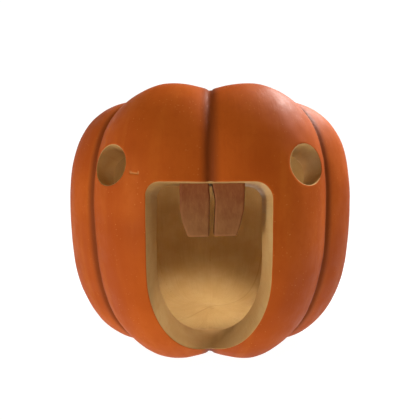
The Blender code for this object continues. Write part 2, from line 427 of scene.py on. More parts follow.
def shell_field(p):
    solid = larger(skin_field(p), -openings_field(p), LIP_EDGE)
    solid = larger(solid, -cavity_field(p), INNER_EDGE)
    return np.maximum(solid, -p[:, 2])


def tooth_field(outline):
    """A block of this outline, from the teeth's front back to the inner wall."""
    def field(p):
        x, y, z = p.T
        block = larger(outline_field(x, z, outline), TOOTH_FRONT_Y - y, TOOTH_EDGE)
        return larger(block, -cavity_field(p), TOOTH_EDGE)

    return field


# Meshing

def surface_net(field, low, high, step):
    """Points and quads round the zero level of a field, with a point in each grid cell that it crosses."""
    axes = [np.arange(a, b + step, step) for a, b in zip(low, high)]
    shape = tuple(len(axis) for axis in axes)
    grid = np.stack(np.meshgrid(*axes, indexing="ij"), axis=-1).reshape(-1, 3)
    level = np.concatenate([field(part) for part in np.array_split(grid, NET_PARTS)]).reshape(shape)
    inside = level < 0
    places, cells, quads = [], [], []
    for axis in range(3):
        first = np.moveaxis(level, axis, 0)[:-1]
        second = np.moveaxis(level, axis, 0)[1:]
        sign = np.moveaxis(inside, axis, 0)
        index = np.argwhere(sign[:-1] != sign[1:])
        starts, ends = first[tuple(index.T)], second[tuple(index.T)]
        filled_first = starts < 0
        share = starts / (starts - ends)
        corner = np.insert(index[:, 1:], axis, index[:, 0], axis=1)
        place = np.stack([axes[k][corner[:, k]] for k in range(3)], axis=-1)
        place[:, axis] += share * step
        others = [k for k in range(3) if k != axis]
        ring = []
        for da, db in ((0, 0), (1, 0), (1, 1), (0, 1)):
            cell = corner.copy()
            cell[:, others[0]] -= da
            cell[:, others[1]] -= db
            ring.append(np.ravel_multi_index(tuple(cell.T), shape))
        ring = np.stack(ring, axis=-1)
        outward = filled_first ^ (axis == 1)
        quads.append(np.where(outward[:, None], ring, ring[:, ::-1]))
        places += [place] * 4
        cells += [ring[:, k] for k in range(4)]
    used, owner = np.unique(np.concatenate(cells), return_inverse=True)
    places = np.concatenate(places)
    count = np.bincount(owner)
    points = np.stack([np.bincount(owner, places[:, k]) / count for k in range(3)], axis=-1)
    faces = np.searchsorted(used, np.concatenate(quads))
    return points, faces


def slope(field, p):
    offsets = np.eye(3) * SLOPE_REACH
    return np.stack([(field(p + o) - field(p - o)) / (2 * SLOPE_REACH) for o in offsets], axis=-1)


def unit(vectors):
    return vectors / np.maximum(np.linalg.norm(vectors, axis=1), TINY)[:, None]


def settle(field, p, rounds=3):
    """Moves points along the field's slope on to its zero level."""
    for _ in range(rounds):
        steep = slope(field, p)
        step = field(p) / np.maximum((steep * steep).sum(axis=1), 0.05)
        p = p - np.clip(step, -LONGEST_SETTLING, LONGEST_SETTLING)[:, None] * steep
    return p


def relax(field, p, edges, rounds, held=False):
    """Evens out the points along the surface without leaving it, apart from those held in place."""
    for _ in range(rounds):
        total = np.zeros_like(p)
        ends = np.concatenate([edges, edges[:, ::-1]])
        count = np.bincount(ends[:, 0], minlength=len(p))
        for k in range(3):
            total[:, k] = np.bincount(ends[:, 0], p[ends[:, 1], k], minlength=len(p))
        move = total / np.maximum(count, 1)[:, None] - p
        normal = unit(slope(field, p))
        move -= (move * normal).sum(axis=1)[:, None] * normal
        p = np.where(held, p, settle(field, p + 0.5 * move, 1))
    return p


def mesh_points(mesh):
    flat = np.empty(len(mesh.vertices) * 3)
    mesh.vertices.foreach_get("co", flat)
    return flat.reshape(-1, 3)


def mesh_edges(mesh):
    flat = np.empty(len(mesh.edges) * 2, int)
    mesh.edges.foreach_get("vertices", flat)
    return flat.reshape(-1, 2)


def set_points(mesh, points):
    mesh.vertices.foreach_set("co", points.astype(np.float32).ravel())
    mesh.update()


def refine(mesh, chosen):
    """Splits every face that has a chosen point into four."""
    editable = bmesh.new()
    editable.from_mesh(mesh)
    editable.verts.ensure_lookup_table()
    faces = [f for f in editable.faces if any(chosen[v.index] for v in f.verts)]
    edges = {e for f in faces for e in f.edges}
    bmesh.ops.subdivide_edges(editable, edges=list(edges), cuts=1, use_grid_fill=True)
    editable.to_mesh(mesh)
    editable.free()


def ring_quads(rings, columns):
    """Quads between the rings of points, which follow one another."""
    quads = []
    for ring in range(rings - 1):
        for column in range(columns):
            after = (column + 1) % columns
            low, high = ring * columns, (ring + 1) * columns
            quads.append((low + column, low + after, high + after, high + column))
    return quads


def add_piece(name, mesh, material):
    mesh.materials.append(material)
    mesh.shade_smooth()
    piece = bpy.data.objects.new(name, mesh)
    bpy.context.scene.collection.objects.link(piece)
    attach(piece, "root")
    return piece


def net_mesh(name, field, low, high, step):
    """A mesh of even quads on the zero level of a field."""
    points, faces = surface_net(field, low, high, step)
    points = settle(field, points)
    mesh = bpy.data.meshes.new(name)
    mesh.from_pydata(points.tolist(), [], faces.tolist())
    mesh.update()
    set_points(mesh, relax(field, mesh_points(mesh), mesh_edges(mesh), 4))
    return mesh


def groove_distance(p):
    azimuth = azimuth_of(p[:, 0], p[:, 1])
    return (1 - across_rib(azimuth)) * math.pi / RIBS * np.hypot(p[:, 0], p[:, 1])


def near_lip(p, reach):
    """Points within reach of the edge where a cut meets the skin."""
    return (np.abs(skin_field(p)) < reach) & (np.abs(openings_field(p)) < reach)


def snap_to_lip(p, edges):
    """Moves the nearer end of every edge that crosses a lip on to the lip's line.

    Returns the points and which of them lie on the line.
    """
    apart = skin_field(p) + openings_field(p)
    near = near_lip(p, SNAP_REACH)
    one, other = edges.T
    crosses = (apart[one] > 0) != (apart[other] > 0)
    crosses &= near[one] & near[other]
    one, other = one[crosses], other[crosses]
    chosen = np.unique(np.where(np.abs(apart[one]) < np.abs(apart[other]), one, other))
    moved = p[chosen]
    for _ in range(5):
        skin_slope = slope(skin_field, moved)
        cut_slope = slope(openings_field, moved)
        skin_gap = skin_field(moved) + LIP_EDGE / 4
        cut_gap = openings_field(moved) - LIP_EDGE / 4
        both = (skin_slope * cut_slope).sum(axis=1)
        skin_own = (skin_slope**2).sum(axis=1)
        cut_own = (cut_slope**2).sum(axis=1)
        scale = np.maximum(skin_own * cut_own - both**2, 0.02)
        along_skin = (skin_gap * cut_own - cut_gap * both) / scale
        along_cut = (cut_gap * skin_own - skin_gap * both) / scale
        step = along_skin[:, None] * skin_slope + along_cut[:, None] * cut_slope
        moved = moved - np.clip(step, -MM, MM)
    p = p.copy()
    p[chosen] = moved
    held = np.zeros(len(p), bool)
    held[chosen] = True
    return p, held[:, None]


def axis_distances(p):
    """Distances from the axis over the crown and over the underside, each 1 m on the other half."""
    radius = np.hypot(p[:, 0], p[:, 1])
    above = p[:, 2] > EQUATOR_Z
    return np.where(above, radius, 1.0), np.where(above, 1.0, radius)


def shell_mesh():
    """An even net, made finer in the grooves, on the cuts and their lips, and at stem, scar and nick."""
    margin = 2 * SHELL_STEP
    low = [c - margin for c in cad_box[0]]
    high = [c + margin for c in cad_box[1]]
    mesh = net_mesh("pumpkin_shell", shell_field, low, high, SHELL_STEP)
    points, held = snap_to_lip(mesh_points(mesh), mesh_edges(mesh))
    points = relax(shell_field, points, mesh_edges(mesh), 3, held)
    set_points(mesh, points)
    on_cut = np.abs(openings_field(points)) < SHELL_STEP / 2
    in_groove = (np.abs(skin_field(points)) < MM) & (groove_distance(points) < GROOVE_REACH)
    refine(mesh, on_cut | in_groove)
    for reach in LIP_REACHES:
        points = settle(shell_field, mesh_points(mesh), 2)
        points = relax(shell_field, points, mesh_edges(mesh), 3)
        points, held = snap_to_lip(points, mesh_edges(mesh))
        set_points(mesh, relax(shell_field, points, mesh_edges(mesh), 2, held))
        crown, under = axis_distances(points)
        on_skin = np.abs(skin_field(points)) < MM
        near_stem = on_skin & (crown < CROWN_REACH) & (reach == LIP_REACHES[0])
        near_scar = on_skin & (under < SCAR_RADIUS)
        refine(mesh, near_lip(points, reach) | near_stem | near_scar)
    for reach in NICK_REACHES:
        refine(mesh, nick_distance(mesh_points(mesh)) < reach)
    points = settle(shell_field, mesh_points(mesh), 2)
    points, held = snap_to_lip(relax(shell_field, points, mesh_edges(mesh), 2), mesh_edges(mesh))
    set_points(mesh, relax(shell_field, points, mesh_edges(mesh), 3, held))
    return mesh


# Relief: how far the surface is cut back

def corner_values(x, y, z, seed):
    """A value from 0 to 1 for each corner of a grid, with no order to be seen in them."""
    step_x, step_y, step_z, step_seed = HASH_STEPS
    value = (x * step_x ^ y * step_y ^ z * step_z ^ seed * step_seed) & HASH_TOP
    for shift, factor in HASH_MIXERS:
        value = (value ^ value >> shift) * factor & HASH_TOP
    return (value ^ value >> HASH_LAST_SHIFT) / HASH_TOP


def lattice_noise(p, size, seed):
    """Smooth random values from 0 to 1, with features of about this size in metres."""
    place = p / size + seed * SEED_SHIFT
    cell = np.floor(place).astype(np.int64)
    share = place - cell
    share = share * share * (3 - 2 * share)
    total = np.zeros(len(p))
    for corner in np.ndindex(2, 2, 2):
        weight = np.where(corner, share, 1 - share).prod(axis=1)
        total += corner_values(*(cell + corner).T, seed) * weight
    return total


def uneven(p, least, size, seed):
    """Smooth random values from this least one up to 1."""
    return least + (1 - least) * lattice_noise(p, size, seed)


def smooth_step(value, zero_at, one_at):
    share = np.clip((value - zero_at) / (one_at - zero_at), 0, 1)
    return share * share * (3 - 2 * share)


def ribwise(p, stretch=RIB_STRETCH):
    """Places with little change from top to bottom, so that noise read there runs along the ribs."""
    radius = np.maximum(np.hypot(p[:, 0], p[:, 1]), TINY)
    return np.stack(
        [p[:, 0] / radius * RIB_RADIUS, p[:, 1] / radius * RIB_RADIUS, p[:, 2] * stretch],
        axis=-1,
    )


def nick_distance(p):
    """Distance to the nick's strokes, on the front of the skin."""
    x, y, z = p.T
    stroke, tick = [segment_distance(x, z, *ends) for ends in zip(NICK, NICK[1:])]
    behind = np.maximum(y - NICK_BACK_Y, 0) + np.maximum(-skin_field(p) - NICK_LAYER, 0)
    return np.hypot(np.minimum(stroke, tick), behind)


def nick_share(p):
    return np.exp(-(nick_distance(p) / NICK_WIDTH) ** 2)


def crown_wrinkles(p):
    """Noise that runs out from the stem and fades with the distance."""
    radius = np.maximum(np.hypot(p[:, 0], p[:, 1]), TINY)
    around = p[:, :2] / radius[:, None] * STEM_FOOT_RADIUS
    round_stem = np.column_stack([around, radius * WRINKLE_STRETCH])
    crown, _ = axis_distances(p)
    return smooth_step(crown, CROWN_REACH, STEM_FOOT_RADIUS) * lattice_noise(round_stem, WRINKLE_SIZE, 13)


def scar_share(p):
    """1 in the blossom's scar and 0 outside it, with an uneven rim."""
    _, under = axis_distances(p)
    rim = SCAR_RADIUS * (0.55 + 0.4 * lattice_noise(p, SCAR_RIM_SIZE, 14))
    return smooth_step(under, rim, rim - SCAR_RIM)


def skin_relief(p):
    along = ribwise(p)
    crease = np.exp(-(groove_distance(p) / CREASE_WIDTH) ** 2)
    crease *= CREASE_DEPTH * uneven(p, 0.6, CREASE_CHANGE, 1)
    furrows = FURROW_DEPTH * lattice_noise(along, FURROW_SIZE, 2)
    lumps = LUMP_DEPTH * lattice_noise(p, LUMP_SIZE, 3)
    dimples = DIMPLE_DEPTH * lattice_noise(p, DIMPLE_SIZE, 4)
    scar = scar_share(p) * uneven(p, 0.4, SCAR_GRAIN, 15)
    marks = WRINKLE_DEPTH * crown_wrinkles(p) + SCAR_DEPTH * scar + NICK_DEPTH * nick_share(p)
    return crease + furrows + lumps + dimples + marks


def cut_relief(p):
    strokes = lattice_noise(p * (1, STROKE_STRETCH, 1), STROKE_SIZE, 5)
    facets = lattice_noise(p * (1, FACET_STRETCH, 1), FACET_SIZE, 6)
    return STROKE_DEPTH * (0.5 * strokes + facets)


def inside_relief(p):
    scrapes = lattice_noise(ribwise(p, SCRAPE_STRETCH), SCRAPE_SIZE, 7)
    strings = lattice_noise(ribwise(p), SCRAPE_SIZE / 3, 8)
    crest = np.exp(-(groove_distance(p) / CREASE_WIDTH) ** 2)
    return SCRAPE_DEPTH * (scrapes + STRING_SHARE * strings) * (1 - 0.7 * crest)


def shell_relief(p):
    """Each surface's own relief, blended over the edges between them."""
    on_skin = 1 - smooth_step(-skin_field(p), 0.3 * MM, 1.6 * MM)
    on_inside = 1 - smooth_step(cavity_field(p), 0.3 * MM, 2.0 * MM)
    on_cut = np.clip(1 - on_skin - on_inside, 0, 1)
    relief = on_skin * skin_relief(p) + on_inside * inside_relief(p) + on_cut * cut_relief(p)
    return relief * smooth_step(p[:, 2], REST_GAP, REST_FADE)


def tooth_relief(p):
    pits = lattice_noise(p * (1, 1, 0.6), TOOTH_PIT_SIZE, 9)
    waves = lattice_noise(p, TOOTH_WAVE_SIZE, 10)
    return TOOTH_PIT_DEPTH * pits + TOOTH_WAVE_DEPTH * waves


def cut_back(mesh, field, relief):
    """Moves the points inwards in short steps, each square to the form, so that no edge folds over."""
    points = mesh_points(mesh)
    step = relief(points)[:, None] / CUT_STEPS
    for _ in range(CUT_STEPS):
        points = points - unit(slope(field, points)) * step
    set_points(mesh, points)


def add_value(mesh, name, values):
    attribute = mesh.attributes.new(name, "FLOAT", "POINT")
    attribute.data.foreach_set("value", values.astype(np.float32))


def add_place(mesh, name, places):
    attribute = mesh.attributes.new(name, "FLOAT_VECTOR", "POINT")
    attribute.data.foreach_set("vector", places.astype(np.float32).ravel())


# Material nodes

def socket_link(tree, socket, value):
    if isinstance(value, bpy.types.NodeSocket):
        tree.links.new(value, socket)
    else:
        socket.default_value = value


def new_node(tree, kind, values, **settings):
    """A shader node with its settings, and its inputs given by name or number as values or sockets."""
    node = tree.nodes.new("ShaderNode" + kind)
    for key, value in settings.items():
        setattr(node, key, value)
    for key, value in values.items():
        socket_link(tree, node.inputs[key], value)
    return node


def attribute(tree, name, output="Fac"):
    return new_node(tree, "Attribute", {}, attribute_name=name).outputs[output]


def math_of(tree, operation, *values):
    return new_node(tree, "Math", dict(enumerate(values)), operation=operation).outputs[0]


def mixed(tree, share, first, second):
    """Share 0 gives the first colour and 1 the second."""
    node = new_node(tree, "Mix", {0: share, 6: first, 7: second}, data_type="RGBA")
    return node.outputs[2]


def mixed_value(tree, share, first, second):
    return new_node(tree, "Mix", {0: share, 2: first, 3: second}, data_type="FLOAT").outputs[0]


def between(tree, value, zero_at, one_at):
    """0 at one value and 1 at the other, and smooth between them."""
    values = {"Value": value, "From Min": zero_at, "From Max": one_at}
    return new_node(tree, "MapRange", values, interpolation_type="SMOOTHSTEP").outputs[0]


def stretched(tree, place, scale):
    return new_node(tree, "Mapping", {"Vector": place, "Scale": scale}).outputs[0]


def noise_of(tree, place, size, detail):
    """Noise with features of about this size in metres."""
    values = {"Vector": place, "Scale": 1 / size, "Detail": detail, "Roughness": NOISE_ROUGHNESS}
    return new_node(tree, "TexNoise", values).outputs[0]


def clouds_of(tree, place, size, detail, zero_at, one_at):
    """Noise of about this size as a mask, 0 at one value of the noise and 1 at the other."""
    return between(tree, noise_of(tree, place, size, detail), zero_at, one_at)


def spots_of(tree, place, size, radius):
    """1 in small round spots, one to a cell of about this size, and 0 between them."""
    values = {"Vector": place, "Scale": 1 / size}
    distance = new_node(tree, "TexVoronoi", values).outputs["Distance"]
    return math_of(tree, "SUBTRACT", 1.0, between(tree, distance, radius / 2, radius))


def tinted(tree, colour, tint, mask, strength):
    """The colour, with this share of the tint where the mask is 1."""
    return mixed(tree, math_of(tree, "MULTIPLY", mask, strength), colour, tint)


def raised(tree, height, depth):
    """A normal for heights from 0 to 1 that stand this many metres proud."""
    values = {"Height": height, "Distance": depth, "Strength": 1.0}
    return new_node(tree, "Bump", values).outputs[0]


def new_material(name, specular):
    material = bpy.data.materials.new(name)
    material.use_nodes = True
    shader = material.node_tree.nodes["Principled BSDF"]
    shader.inputs["Specular IOR Level"].default_value = specular
    return material, material.node_tree, shader


# Surface qualities
NOISE_ROUGHNESS = 0.55
SKIN_SPECULAR = 0.035
TOOTH_SPECULAR = 0.12
STEM_SPECULAR = 0.25
WAXY_ROUGHNESS = 0.48
DULL_SKIN_ROUGHNESS = 0.60
FLESH_ROUGHNESS = 0.62
TOOTH_ROUGHNESS = 0.6
STEM_ROUGHNESS = 0.82
SKIN_ENDS_MM = 0.75  # the skin's colour ends at this depth
FLESH_STARTS_MM = 0.95  # and only flesh shows from this depth on
PORE_SHARE = 0.35
SKIN_GRAIN_MM = 0.10
FLESH_GRAIN_MM = 0.45
TOOTH_GRAIN = 0.25 * MM
STEM_GRAIN = 0.4 * MM
CUT_STRETCH = (1, 0.08, 1)  # the cuts' fibres run from front to back
TOOTH_STRETCH = (1, 1, 0.35)
STEM_STRETCH = (1, 1, 0.10)

# Colours, linear
ORANGE = (0.450, 0.086, 0.0085, 1)
DEEP_ORANGE = (0.365, 0.062, 0.0056, 1)
GOLDEN = (0.545, 0.139, 0.0150, 1)
# Brown that darkens the skin's grooves as painted shade, and that tints the teeth's random blotches
SHADE_AND_BLOTCH_BROWN = (0.15, 0.030, 0.006, 1)
SPECK = (0.72, 0.300, 0.075, 1)
SCAR_BROWN = (0.20, 0.100, 0.035, 1)
FLESH = (0.54, 0.312, 0.110, 1)
FLESH_PALE = (0.59, 0.375, 0.150, 1)
FLESH_DEEP = (0.45, 0.225, 0.068, 1)
# The inside's colours are the cut flesh's made about a fifth darker: painted shade for the hollow
SHADED_INSIDE = (0.44, 0.255, 0.086, 1)
SHADED_INSIDE_PALE = (0.49, 0.300, 0.110, 1)
SHADED_INSIDE_DEEP = (0.34, 0.180, 0.055, 1)
NICK_TAN = (0.52, 0.180, 0.045, 1)
TOOTH_FIBRE = (0.40, 0.180, 0.055, 1)
CROWN_OLIVE = (0.24, 0.105, 0.020, 1)
RUBBED_SKIN = (0.42, 0.190, 0.055, 1)
# The teeth's colours are flesh gone brown, darkened as painted shade, and the top by the root most of all
TOOTH_TOP_SHADED = (0.21, 0.062, 0.018, 1)
TOOTH_TIP = (0.25, 0.098, 0.030, 1)
BARK = (0.17, 0.105, 0.036, 1)
BARK_PALE = (0.34, 0.235, 0.105, 1)
BARK_GREEN = (0.11, 0.110, 0.028, 1)
WHITE = (1, 1, 1, 1)


def skin_colour(tree, place, along):
    """Mottled orange with streaks along the ribs, darker in the grooves as painted shade, and olive near
    the stem.
    """
    patches = clouds_of(tree, place, size=0.075, detail=2, zero_at=0.35, one_at=0.65)
    colour = mixed(tree, patches, ORANGE, DEEP_ORANGE)
    streaks = clouds_of(tree, along, size=0.014, detail=3, zero_at=0.45, one_at=0.80)
    colour = tinted(tree, colour, GOLDEN, streaks, strength=0.30)
    mottle = clouds_of(tree, place, size=0.0060, detail=5, zero_at=0.40, one_at=0.75)
    colour = tinted(tree, colour, DEEP_ORANGE, mottle, strength=0.30)
    thinned = clouds_of(tree, place, size=0.022, detail=1, zero_at=0.42, one_at=0.62)
    specks = math_of(tree, "MULTIPLY", spots_of(tree, place, size=0.0034, radius=0.16), thinned)
    colour = tinted(tree, colour, SPECK, specks, strength=0.35)
    # Painted shade: the skin darkens towards each groove, from 9 mm out
    groove = between(tree, attribute(tree, "groove_mm"), zero_at=9.0, one_at=0.5)
    colour = tinted(tree, colour, SHADE_AND_BLOTCH_BROWN, groove, strength=0.8)
    crown = between(tree, attribute(tree, "crown_mm"), zero_at=50.0, one_at=29.0)
    colour = tinted(tree, colour, CROWN_OLIVE, crown, strength=0.7)
    colour = tinted(tree, colour, RUBBED_SKIN, attribute(tree, "rubbed"), strength=0.45)
    grain = clouds_of(tree, place, size=0.0020, detail=4, zero_at=0.35, one_at=0.65)
    cork = mixed(tree, grain, SCAR_BROWN, BARK_PALE)
    return mixed(tree, attribute(tree, "scar"), colour, cork)


def flesh_colour(tree, place, along, usual, pale, deep):
    """Flesh in pale patches, with deeper fibres and a deeper layer just below the skin."""
    patches = clouds_of(tree, place, size=0.030, detail=3, zero_at=0.35, one_at=0.70)
    colour = mixed(tree, patches, usual, pale)
    fibres = clouds_of(tree, along, size=0.0040, detail=5, zero_at=0.45, one_at=0.80)
    colour = tinted(tree, colour, deep, fibres, strength=0.25)
    under_skin = between(tree, attribute(tree, "depth_mm"), zero_at=3.0, one_at=1.2)
    return tinted(tree, colour, deep, under_skin, strength=0.30)


def pumpkin_grain(tree, place, along, across_cut, is_flesh, is_inside):
    """Heights in millimetres: pores and hairlines in the skin, fibres in the flesh."""
    pores = noise_of(tree, place, size=0.0016, detail=2)
    hairlines = noise_of(tree, along, size=0.0022, detail=3)
    skin = math_of(tree, "MULTIPLY_ADD", pores, PORE_SHARE, hairlines)
    cut_fibres = noise_of(tree, across_cut, size=0.0018, detail=4)
    inner_fibres = noise_of(tree, along, size=0.0016, detail=4)
    flesh = mixed_value(tree, is_inside, cut_fibres, inner_fibres)
    skin = math_of(tree, "MULTIPLY", skin, SKIN_GRAIN_MM)
    flesh = math_of(tree, "MULTIPLY", flesh, FLESH_GRAIN_MM)
    return mixed_value(tree, is_flesh, skin, flesh)


def pumpkin_material():
    """Waxy skin down to the rind's depth, and fibrous flesh below it."""
    material, tree, shader = new_material("pumpkin_skin_and_flesh", SKIN_SPECULAR)
    place = new_node(tree, "TexCoord", {}).outputs["Object"]
    along = attribute(tree, "ribwise", "Vector")
    across_cut = stretched(tree, place, CUT_STRETCH)
    is_flesh = between(tree, attribute(tree, "depth_mm"), SKIN_ENDS_MM, FLESH_STARTS_MM)
    is_inside = between(tree, attribute(tree, "wall_mm"), zero_at=1.4, one_at=0.4)
    is_nick = between(tree, attribute(tree, "nick"), zero_at=0.25, one_at=0.55)
    is_crest = between(tree, attribute(tree, "groove_mm"), zero_at=1.6, one_at=0.3)

    # Painted shade: the inside's flesh is a darker copy of the cut flesh
    inside = flesh_colour(tree, place, along, SHADED_INSIDE, SHADED_INSIDE_PALE, SHADED_INSIDE_DEEP)
    inside = tinted(tree, inside, SHADED_INSIDE_DEEP, is_crest, strength=0.55)
    cut = flesh_colour(tree, place, across_cut, FLESH, FLESH_PALE, FLESH_DEEP)
    flesh = mixed(tree, is_inside, cut, inside)
    skin = mixed(tree, is_nick, skin_colour(tree, place, along), NICK_TAN)
    socket_link(tree, shader.inputs["Base Color"], mixed(tree, is_flesh, skin, flesh))

    wax = clouds_of(tree, place, size=0.012, detail=3, zero_at=0.3, one_at=0.7)
    skin_roughness = mixed_value(tree, wax, WAXY_ROUGHNESS, DULL_SKIN_ROUGHNESS)
    roughness = mixed_value(tree, is_flesh, skin_roughness, FLESH_ROUGHNESS)
    socket_link(tree, shader.inputs["Roughness"], roughness)

    grain = pumpkin_grain(tree, place, along, across_cut, is_flesh, is_inside)
    socket_link(tree, shader.inputs["Normal"], raised(tree, grain, MM))
    return material


def tooth_material():
    """Browned flesh, partly its own colour and partly painted shade, redder and darker towards the root as
    painted shade.
    """
    material, tree, shader = new_material("browned_flesh_with_painted_shade", TOOTH_SPECULAR)
    place = new_node(tree, "TexCoord", {}).outputs["Object"]
    along = stretched(tree, place, TOOTH_STRETCH)
    height = new_node(tree, "SeparateXYZ", {0: place}).outputs["Z"]
    # Painted shade: darker and redder towards the root, under the mouth's top edge
    colour = mixed(tree, between(tree, height, zero_at=0.118, one_at=0.152), TOOTH_TIP, TOOTH_TOP_SHADED)
    fibres = clouds_of(tree, along, size=0.0022, detail=4, zero_at=0.40, one_at=0.75)
    colour = tinted(tree, colour, TOOTH_FIBRE, fibres, strength=0.22)
    blotches = clouds_of(tree, place, size=0.009, detail=4, zero_at=0.45, one_at=0.75)
    colour = tinted(tree, colour, SHADE_AND_BLOTCH_BROWN, blotches, strength=0.4)
    socket_link(tree, shader.inputs["Base Color"], colour)
    shader.inputs["Roughness"].default_value = TOOTH_ROUGHNESS
    grain = noise_of(tree, along, size=0.0014, detail=4)
    socket_link(tree, shader.inputs["Normal"], raised(tree, grain, TOOTH_GRAIN))
    return material


def stem_material():
    """Dry ridged bark, greenish near the foot, with pale cork on the trimmed top."""
    material, tree, shader = new_material("stem_bark", STEM_SPECULAR)
    place = new_node(tree, "TexCoord", {}).outputs["Object"]
    along = stretched(tree, place, STEM_STRETCH)
    height = new_node(tree, "SeparateXYZ", {0: place}).outputs["Z"]
    fibres = clouds_of(tree, along, size=0.0028, detail=5, zero_at=0.35, one_at=0.70)
    colour = mixed(tree, fibres, BARK, BARK_PALE)
    foot = between(tree, height, zero_at=0.245, one_at=0.224)
    colour = tinted(tree, colour, BARK_GREEN, foot, strength=0.6)
    pith = clouds_of(tree, place, size=0.0022, detail=5, zero_at=0.35, one_at=0.7)
    top = mixed(tree, pith, BARK_PALE, BARK)
    colour = mixed(tree, attribute(tree, "trimmed"), colour, top)
    socket_link(tree, shader.inputs["Base Color"], colour)
    shader.inputs["Roughness"].default_value = STEM_ROUGHNESS
    lines = noise_of(tree, along, size=0.0016, detail=4)
    grit = noise_of(tree, place, size=0.0012, detail=3)
    grain = math_of(tree, "ADD", lines, grit)
    socket_link(tree, shader.inputs["Normal"], raised(tree, grain, STEM_GRAIN))
    return material


# Stem

def stem_rings(columns):
    """Rings up the bark and in over the trimmed top, each as share of the height, radii and sinking."""
    wave = STEM_RIDGE_WAVE * np.cos(STEM_RIDGES * columns)
    wave += STEM_FINE_WAVE * np.cos(2 * STEM_RIDGES * columns)
    rings = []
    for level in range(STEM_RINGS + 1):
        share = level / STEM_RINGS
        flare = (1 - share) ** STEM_FLARE_POWER
        mean = STEM_TOP_RADIUS + (STEM_FOOT_RADIUS - STEM_TOP_RADIUS) * flare
        rings.append((share, mean * (1 + STEM_RIDGE_SHARE * wave), 0.0))
    rim = rings[-1][1]
    for inner, sink in STEM_TOP_RINGS:
        evened = rim + (STEM_TOP_RADIUS - rim) * (1 - inner)
        rings.append((1.0, evened * inner, sink * MM))
    return rings


def stem_mesh():
    """The solid's ridged, twisted stub in fine rings, with a sunken pith in its trimmed top."""
    columns = np.arange(STEM_COLUMNS) / STEM_COLUMNS * math.tau
    rings = stem_rings(columns)
    points = []
    for share, radius, sink in rings:
        turned = columns + STEM_TWIST * share
        x = radius * np.sin(turned)
        y = -radius * np.cos(turned)
        z = STEM_FOOT_Z + (STEM_TOP_Z - STEM_FOOT_Z) * share + STEM_SLOPE * x * share - sink
        points.append(np.column_stack([x + STEM_LEAN[0] * share**2, y + STEM_LEAN[1] * share**2, z]))
    points = np.concatenate(points)
    middle = points[-STEM_COLUMNS:].mean(axis=0)
    bark = BARK_LINE_DEPTH * lattice_noise(points * (1, 1, BARK_LINE_STRETCH), BARK_LINE_SIZE, 11)
    bark += BARK_LUMP_DEPTH * lattice_noise(points, BARK_LUMP_SIZE, 12)
    on_top = np.arange(len(points)) >= (STEM_RINGS + 1) * STEM_COLUMNS
    inwards = np.where(on_top[:, None], (0, 0, TOP_LUMP_SHARE), unit(points * (1, 1, 0)))
    points = points - inwards * bark[:, None]
    faces = ring_quads(len(rings), STEM_COLUMNS)
    foot_index, middle_index = len(points), len(points) + 1
    last_ring = len(points) - STEM_COLUMNS
    for column in range(STEM_COLUMNS):
        after = (column + 1) % STEM_COLUMNS
        faces.append((foot_index, after, column))
        faces.append((middle_index, last_ring + column, last_ring + after))
    mesh = bpy.data.meshes.new("stem")
    mesh.from_pydata([*points.tolist(), (0, 0, STEM_FOOT_Z), middle.tolist()], [], faces)
    mesh.update()
    add_value(mesh, "trimmed", np.append(on_top, (False, True)).astype(float))
    return mesh


# Pieces

def add_shell():
    mesh = shell_mesh()
    points = mesh_points(mesh)
    depth = np.where(points[:, 2] > FOOT_HEIGHT, -skin_field(points), 0)
    add_value(mesh, "depth_mm", depth / MM)
    add_value(mesh, "rubbed", smooth_step(points[:, 2], RUBBED_FROM, RUBBED_FULL))
    add_value(mesh, "wall_mm", cavity_field(points) / MM)
    add_value(mesh, "groove_mm", groove_distance(points) / MM)
    add_value(mesh, "nick", nick_share(points))
    add_value(mesh, "crown_mm", axis_distances(points)[0] / MM)
    add_value(mesh, "scar", scar_share(points))
    add_place(mesh, "ribwise", ribwise(points))
    cut_back(mesh, shell_field, shell_relief)
    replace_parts(add_piece("pumpkin_shell", mesh, pumpkin_material()), "pumpkin")


def add_tooth(name, corners, material):
    root_z = MOUTH_TOP_Z + TOOTH_ROOT
    root = [(corners[-1][0], root_z), (corners[0][0], root_z)]
    block = with_round_corners([*corners, *root], TOOTH_CORNER)
    field = tooth_field(block)
    xs, zs = zip(*block)
    low = (min(xs) - NET_MARGIN, TOOTH_FRONT_Y - NET_MARGIN, min(zs) - NET_MARGIN)
    high = (max(xs) + NET_MARGIN, TOOTH_NET_BACK_Y, max(zs) + NET_MARGIN)
    mesh = net_mesh(name, field, low, high, TOOTH_STEP)
    cut_back(mesh, field, tooth_relief)
    add_piece(name, mesh, material)


add_shell()
browned_and_shaded = tooth_material()
add_tooth("left_tooth", LEFT_TOOTH, browned_and_shaded)
add_tooth("right_tooth", RIGHT_TOOTH, browned_and_shaded)
add_piece("stem", stem_mesh(), stem_material())


# Camera, floor and light

def add_camera():
    data = bpy.data.cameras.new("camera")
    data.sensor_width = CAMERA_SENSOR_MM
    data.lens = data.sensor_width / 2 / math.tan(CAMERA_VIEW_ANGLE / 2)
    camera = bpy.data.objects.new("camera", data)
    camera.location = (0, -CAMERA_DISTANCE, CAMERA_HEIGHT)
    camera.rotation_euler = (math.pi / 2, 0, 0)
    bpy.context.scene.collection.objects.link(camera)
    bpy.context.scene.camera = camera


